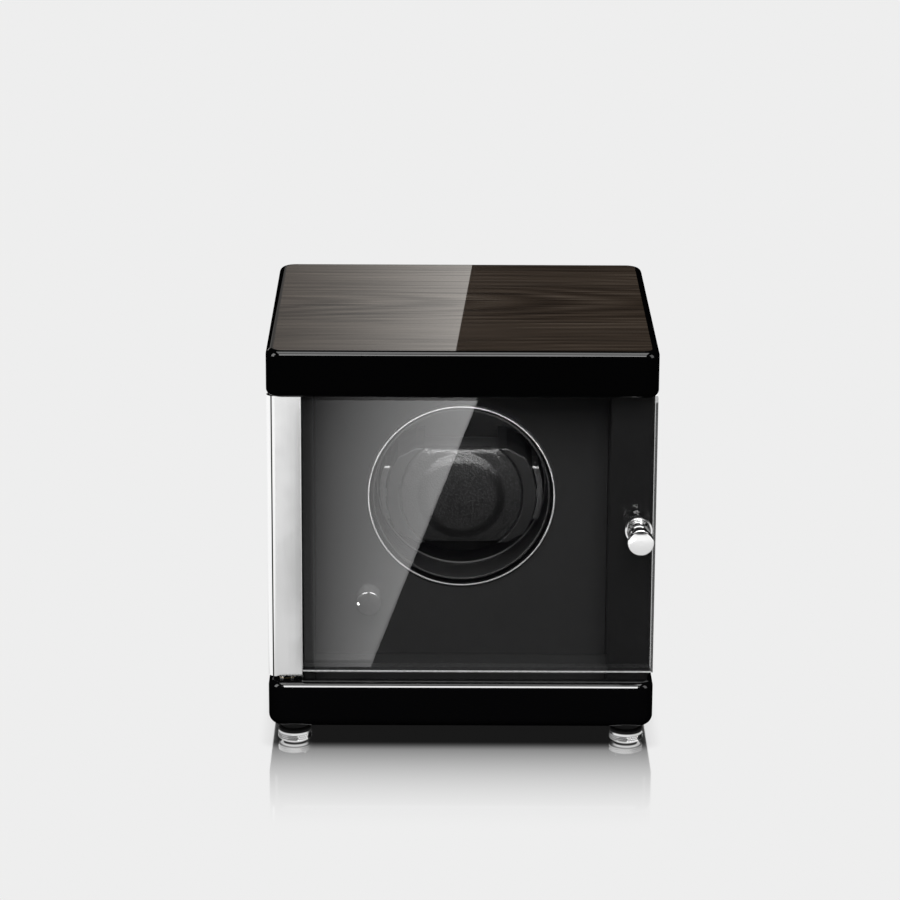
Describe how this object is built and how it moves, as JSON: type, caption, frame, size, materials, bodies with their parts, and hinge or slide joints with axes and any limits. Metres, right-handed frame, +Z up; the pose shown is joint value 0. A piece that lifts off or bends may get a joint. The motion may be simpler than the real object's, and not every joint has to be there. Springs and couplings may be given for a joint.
{
  "type": "watch winder box",
  "caption": "Lacquered box on turned feet, with a smoked-glass door on a pivot profile and a geared rotor behind it that turns a padded watch cushion.",
  "frame": {"origin": "bottom centre of the whole object's box, on the plane the feet stand on", "axes": "+Z up, -Y towards the viewer and out of the door, +X to the viewer's right"},
  "size_m": [0.18, 0.186, 0.192],
  "materials": {
    "black_lacquer": "high gloss black lacquer",
    "veneer": "glossy dark striped veneer",
    "raw_board": "unfinished board",
    "back_board": "satin black laminate",
    "chrome": "polished chrome",
    "satin_steel": "satin steel",
    "zinc_screw": "zinc plated",
    "dark_screw": "black oxide",
    "rubber": "matte black",
    "smoked_glass": "polished smoked glass",
    "brass": "plain turned",
    "magnet": "nickel plated",
    "covered_fascia": "black grained cover",
    "black_plastic": "satin black",
    "gloss_black_plastic": "gloss black",
    "white_plastic": "natural white moulding",
    "aluminium": "plain machined",
    "board_green": "solder mask",
    "cushion_cover": "soft black grained cover",
    "lead_cover": "black insulation"
  },
  "bodies": {
    "case": {"base_slab": "black_lacquer", "top_slab": "black_lacquer", "veneer_inlay": "veneer", "left_wall": "black_lacquer", "right_wall": "black_lacquer", "carcass_dowels": "raw_board", "rear_panel": "back_board", "rear_battens": "raw_board", "rear_panel_screws": "dark_screw", "foot_front_left": "chrome", "foot_front_right": "chrome", "foot_rear_left": "chrome", "foot_rear_right": "chrome", "foot_pads": "rubber", "foot_screws": "zinc_screw", "hinge_bushes": "brass", "hinge_washers": "chrome", "catch_magnet": "magnet", "fascia": "covered_fascia", "fascia_battens": "raw_board", "bezel_ring": "chrome", "shaft_bushes": "brass", "bearing_housing": "aluminium", "housing_screws": "zinc_screw", "mechanism_plate": "aluminium", "plate_standoffs": "aluminium", "plate_screws": "zinc_screw", "gearbox": "satin_steel", "motor_screws": "zinc_screw", "motor_can": "satin_steel", "motor_end_cap": "black_plastic", "rotary_switch": "black_plastic", "switch_nut": "zinc_screw", "control_board": "board_green", "board_parts": "black_plastic", "dc_inlet": "black_plastic", "dc_inlet_pin": "satin_steel", "dc_inlet_nut": "zinc_screw", "power_lead": "lead_cover", "motor_lead": "lead_cover"},
    "door": {"hinge_profile": "chrome", "hinge_pins": "satin_steel", "door_glass": "smoked_glass", "door_knob": "chrome", "knob_washer": "black_plastic", "knob_screw": "zinc_screw", "strike_plate": "satin_steel"},
    "rotor": {"rotor_drum": "gloss_black_plastic", "rotor_shaft": "satin_steel", "shaft_clip": "satin_steel", "driven_gear": "white_plastic"},
    "motor_pinion": {"pinion": "white_plastic", "output_shaft": "satin_steel"},
    "cushion": {"watch_cushion": "cushion_cover", "cushion_core": "black_plastic", "left_cheek": "black_plastic", "right_cheek": "black_plastic"},
    "selector": {"selector_knob": "gloss_black_plastic", "selector_shaft": "satin_steel"}
  },
  "joints": [
    {"name": "door_hinge", "type": "hinge", "parent": "case", "child": "door", "pos_m": [-0.0814, -0.0695, 0.101], "axis": [0, 0, -1], "range_deg": [0, 110]},
    {"name": "rotor_spin", "type": "hinge", "parent": "case", "child": "rotor", "pos_m": [0, 0, 0.1113], "axis": [0, 1, 0], "continuous": true},
    {"name": "pinion_spin", "type": "hinge", "parent": "case", "child": "motor_pinion", "pos_m": [0, 0.013, 0.0753], "axis": [0, 1, 0], "continuous": true},
    {"name": "cushion_pull", "type": "slide", "parent": "rotor", "child": "cushion", "axis": [0, -1, 0], "range_m": [0, 0.022]},
    {"name": "selector_turn", "type": "hinge", "parent": "case", "child": "selector", "pos_m": [-0.0436, -0.045, 0.061], "axis": [0, 1, 0], "range_deg": [-60, 60]}
  ],
  "couplings": [
    {"joint": "pinion_spin", "follows": "rotor_spin", "ratio": -3}
  ]
}
